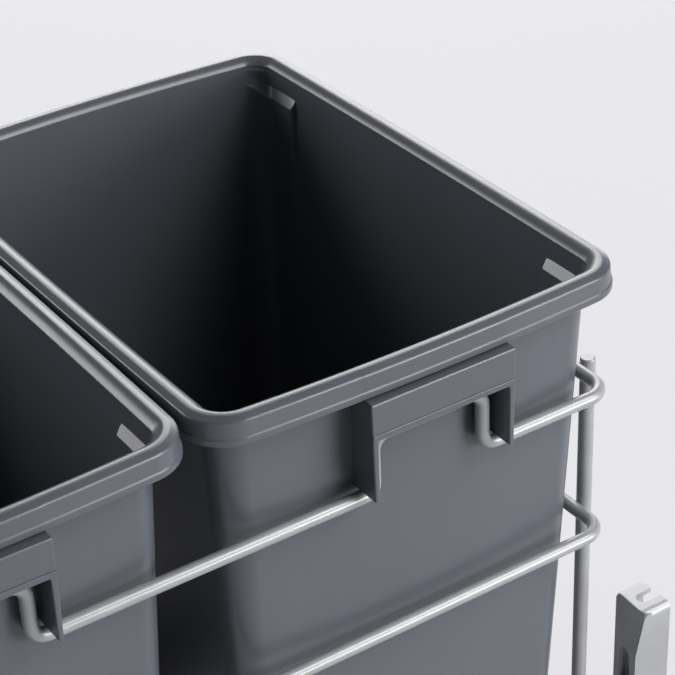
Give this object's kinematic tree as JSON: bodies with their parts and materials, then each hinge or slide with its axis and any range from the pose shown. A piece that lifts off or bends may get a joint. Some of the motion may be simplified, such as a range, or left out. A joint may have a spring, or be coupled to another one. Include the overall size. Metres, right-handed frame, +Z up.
{
  "type": "pull out bin frame",
  "caption": "Pull-out wire frame for a base cabinet: deep waste bins hang by hooks over humps in the upper rail, above full-extension ball slides, with slotted brackets for the door front.",
  "frame": {"origin": "centre of the floor screw pattern, on the cabinet floor", "axes": "+X is the pull direction towards the door, +Z is up, Y runs across the cabinet with +Y on the left as the cabinet's user sees it"},
  "size_m": [0.5177, 0.3404, 0.425],
  "materials": {
    "bin_plastic": "satin moulded",
    "wire_coat": "silver-grey satin coat",
    "sheet_steel": "silver-grey satin coat",
    "door_cast": "light grey satin coat",
    "zinc_steel": "zinc-plated",
    "cage_steel": "zinc-plated",
    "rubber": "matte"
  },
  "bodies": {
    "base": {"floor_angle_left": "sheet_steel", "floor_angle_right": "sheet_steel", "outer_rail_left": "zinc_steel", "outer_rail_right": "zinc_steel", "base_rivets_left": "zinc_steel", "base_rivets_right": "zinc_steel", "bumper_left": "rubber", "bumper_right": "rubber", "front_strap": "sheet_steel", "rear_strap": "sheet_steel"},
    "moving_frame": {"upper_hoop": "wire_coat", "lower_hoop": "wire_coat", "bottom_hoop": "wire_coat", "front_carrier": "sheet_steel", "carrier_nuts": "zinc_steel", "post_front_left": "wire_coat", "post_front_right": "wire_coat", "post_rear_left": "wire_coat", "post_rear_right": "wire_coat", "slide_bracket_left": "sheet_steel", "slide_bracket_right": "sheet_steel", "bracket_rivets_left": "zinc_steel", "bracket_rivets_right": "zinc_steel", "inner_rail_left": "zinc_steel", "inner_rail_right": "zinc_steel", "door_bracket_left": "door_cast", "door_bracket_right": "door_cast", "bracket_screws_left": "zinc_steel", "bracket_screws_right": "zinc_steel"},
    "bin_front": {"bin_front": "bin_plastic"},
    "bin_rear": {"bin_rear": "bin_plastic"},
    "middle_left": {"middle_rail_left": "zinc_steel"},
    "outer_cage_left": {"outer_cage_left": "cage_steel", "outer_balls_left": "zinc_steel"},
    "inner_cage_left": {"inner_cage_left": "cage_steel", "inner_balls_left": "zinc_steel"},
    "middle_right": {"middle_rail_right": "zinc_steel"},
    "outer_cage_right": {"outer_cage_right": "cage_steel", "outer_balls_right": "zinc_steel"},
    "inner_cage_right": {"inner_cage_right": "cage_steel", "inner_balls_right": "zinc_steel"}
  },
  "joints": [
    {"name": "frame_slide", "type": "slide", "parent": "base", "child": "moving_frame", "axis": [1, 0, 0], "range_m": [0, 0.44]},
    {"name": "middle_left_slide", "type": "slide", "parent": "base", "child": "middle_left", "axis": [1, 0, 0], "range_m": [0, 0.22]},
    {"name": "outer_cage_left_slide", "type": "slide", "parent": "base", "child": "outer_cage_left", "axis": [1, 0, 0], "range_m": [0, 0.11]},
    {"name": "inner_cage_left_slide", "type": "slide", "parent": "base", "child": "inner_cage_left", "axis": [1, 0, 0], "range_m": [0, 0.33]},
    {"name": "middle_right_slide", "type": "slide", "parent": "base", "child": "middle_right", "axis": [1, 0, 0], "range_m": [0, 0.22]},
    {"name": "outer_cage_right_slide", "type": "slide", "parent": "base", "child": "outer_cage_right", "axis": [1, 0, 0], "range_m": [0, 0.11]},
    {"name": "inner_cage_right_slide", "type": "slide", "parent": "base", "child": "inner_cage_right", "axis": [1, 0, 0], "range_m": [0, 0.33]},
    {"name": "bin_front_lift", "type": "slide", "parent": "moving_frame", "child": "bin_front", "axis": [0, 0, 1], "range_m": [0, 0.42]},
    {"name": "bin_rear_lift", "type": "slide", "parent": "moving_frame", "child": "bin_rear", "axis": [0, 0, 1], "range_m": [0, 0.42]}
  ],
  "couplings": [
    {"joint": "middle_left_slide", "follows": "frame_slide", "ratio": 0.5},
    {"joint": "outer_cage_left_slide", "follows": "frame_slide", "ratio": 0.25},
    {"joint": "inner_cage_left_slide", "follows": "frame_slide", "ratio": 0.75},
    {"joint": "middle_right_slide", "follows": "frame_slide", "ratio": 0.5},
    {"joint": "outer_cage_right_slide", "follows": "frame_slide", "ratio": 0.25},
    {"joint": "inner_cage_right_slide", "follows": "frame_slide", "ratio": 0.75}
  ]
}
